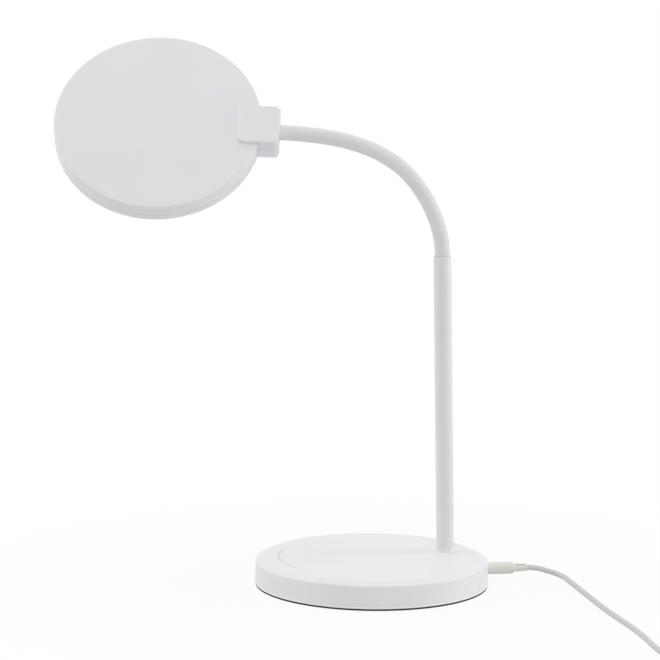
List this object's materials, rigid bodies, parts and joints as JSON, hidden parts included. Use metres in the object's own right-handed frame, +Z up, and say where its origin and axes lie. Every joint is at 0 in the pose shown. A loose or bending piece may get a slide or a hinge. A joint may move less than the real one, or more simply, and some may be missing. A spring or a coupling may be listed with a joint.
{
  "type": "desk lamp",
  "caption": "Desk lamp with a round weighted base, an upright stem, a bendable neck and a flat round light panel held at its rim.",
  "frame": {"origin": "under the middle of the round base, on the face that rests on the table", "axes": "+Z up, +X in the plane in which the neck bends, from the head's side towards the stem's side, +Y away from the side that the head's back turns to"},
  "size_m": [0.4965, 0.3499, 0.3922],
  "materials": {
    "white_abs": "satin",
    "white_enamel": "satin",
    "white_silicone": "satin",
    "white_pvc": "satin",
    "black_rubber": "matte",
    "zinc_steel": "satin",
    "nickel_brass": "satin",
    "cast_iron": "matte",
    "green_board": "satin",
    "black_parts": "satin",
    "copper": "satin",
    "white_board": "matte",
    "led_resin": "gloss",
    "white_film": "matte",
    "opal_acrylic": "satin",
    "tin_plate": "satin",
    "white_nylon": "satin"
  },
  "bodies": {
    "base": {"base_cover": "white_abs", "base_plate": "zinc_steel", "counterweight": "cast_iron", "non_slip_pad": "black_rubber", "base_screws": "zinc_steel", "control_board": "green_board", "board_screws": "zinc_steel", "board_parts": "black_parts", "touch_electrode": "copper", "dc_jack": "black_parts", "jack_lead": "white_pvc", "stem_lead": "white_pvc", "stem_tube": "white_enamel", "stem_collar": "white_enamel", "stem_nipple": "nickel_brass", "stem_washer": "zinc_steel", "stem_nut": "zinc_steel", "neck_ferrule": "nickel_brass", "plug_barrel": "nickel_brass", "plug_body": "white_pvc", "plug_relief": "white_pvc", "cord": "white_pvc", "cord_coil": "white_pvc", "usb_relief": "white_pvc", "usb_body": "white_pvc", "usb_shell": "tin_plate", "usb_tongue": "white_nylon"},
    "neck_0": {"neck_link_0": "zinc_steel", "neck_sleeve_0": "white_silicone", "neck_ring": "zinc_steel"},
    "neck_1": {"neck_link_1": "zinc_steel", "neck_sleeve_1": "white_silicone"},
    "neck_2": {"neck_link_2": "zinc_steel", "neck_sleeve_2": "white_silicone"},
    "neck_3": {"neck_link_3": "zinc_steel", "neck_sleeve_3": "white_silicone"},
    "neck_4": {"neck_link_4": "zinc_steel", "neck_sleeve_4": "white_silicone"},
    "neck_5": {"neck_link_5": "zinc_steel", "neck_sleeve_5": "white_silicone"},
    "neck_6": {"neck_link_6": "zinc_steel", "neck_sleeve_6": "white_silicone"},
    "neck_7": {"neck_link_7": "zinc_steel", "neck_sleeve_7": "white_silicone", "pivot_bush": "nickel_brass"},
    "head": {"friction_washer": "zinc_steel", "block_upper": "white_abs", "block_lower": "white_abs", "block_screws": "zinc_steel", "head_back_cover": "white_abs", "front_ring": "white_abs", "diffuser": "opal_acrylic", "led_board": "white_board", "led_chips": "led_resin", "reflector_sheet": "white_film", "reflector_frame": "white_film", "led_board_screws": "zinc_steel", "head_lead": "white_pvc"}
  },
  "joints": [
    {"name": "neck_turn", "type": "hinge", "parent": "base", "child": "neck_0", "pos_m": [0.04857, 0.0222, 0.23803], "axis": [-0.0244, 0, 0.9997], "range_deg": [-90, 90]},
    {"name": "neck_bend", "type": "hinge", "parent": "neck_0", "child": "neck_1", "pos_m": [0.04781, 0.0222, 0.24777], "axis": [0, -1, 0], "range_deg": [-14, 10], "deforming": ["neck_sleeve_1", "neck_sleeve_0"]},
    {"name": "neck_bend_2", "type": "hinge", "parent": "neck_1", "child": "neck_2", "pos_m": [0.04411, 0.0222, 0.26284], "axis": [0, -1, 0], "range_deg": [-14, 10], "deforming": ["neck_sleeve_2"]},
    {"name": "neck_bend_3", "type": "hinge", "parent": "neck_2", "child": "neck_3", "pos_m": [0.03429, 0.0222, 0.28286], "axis": [0, -1, 0], "range_deg": [-14, 10], "deforming": ["neck_sleeve_3"]},
    {"name": "neck_bend_4", "type": "hinge", "parent": "neck_3", "child": "neck_4", "pos_m": [0.02277, 0.0222, 0.29734], "axis": [0, -1, 0], "range_deg": [-14, 10], "deforming": ["neck_sleeve_4"]},
    {"name": "neck_bend_5", "type": "hinge", "parent": "neck_4", "child": "neck_5", "pos_m": [0.0111, 0.0222, 0.30682], "axis": [0, -1, 0], "range_deg": [-14, 10], "deforming": ["neck_sleeve_5"]},
    {"name": "neck_bend_6", "type": "hinge", "parent": "neck_5", "child": "neck_6", "pos_m": [-0.00689, 0.0222, 0.31589], "axis": [0, -1, 0], "range_deg": [-14, 10], "deforming": ["neck_sleeve_6"]},
    {"name": "neck_bend_7", "type": "hinge", "parent": "neck_6", "child": "neck_7", "pos_m": [-0.03506, 0.0222, 0.3231], "axis": [0, -1, 0], "range_deg": [-14, 10], "deforming": ["neck_sleeve_7"]},
    {"name": "head_turn", "type": "hinge", "parent": "neck_7", "child": "head", "pos_m": [-0.06982, 0.0222, 0.3262], "axis": [0.9994, 0, -0.0349], "range_deg": [-141.5, 38.5]}
  ],
  "couplings": [
    {"joint": "neck_bend_2", "follows": "neck_bend", "ratio": 1},
    {"joint": "neck_bend_3", "follows": "neck_bend", "ratio": 1},
    {"joint": "neck_bend_4", "follows": "neck_bend", "ratio": 1},
    {"joint": "neck_bend_5", "follows": "neck_bend", "ratio": 1},
    {"joint": "neck_bend_6", "follows": "neck_bend", "ratio": 1},
    {"joint": "neck_bend_7", "follows": "neck_bend", "ratio": 1}
  ]
}
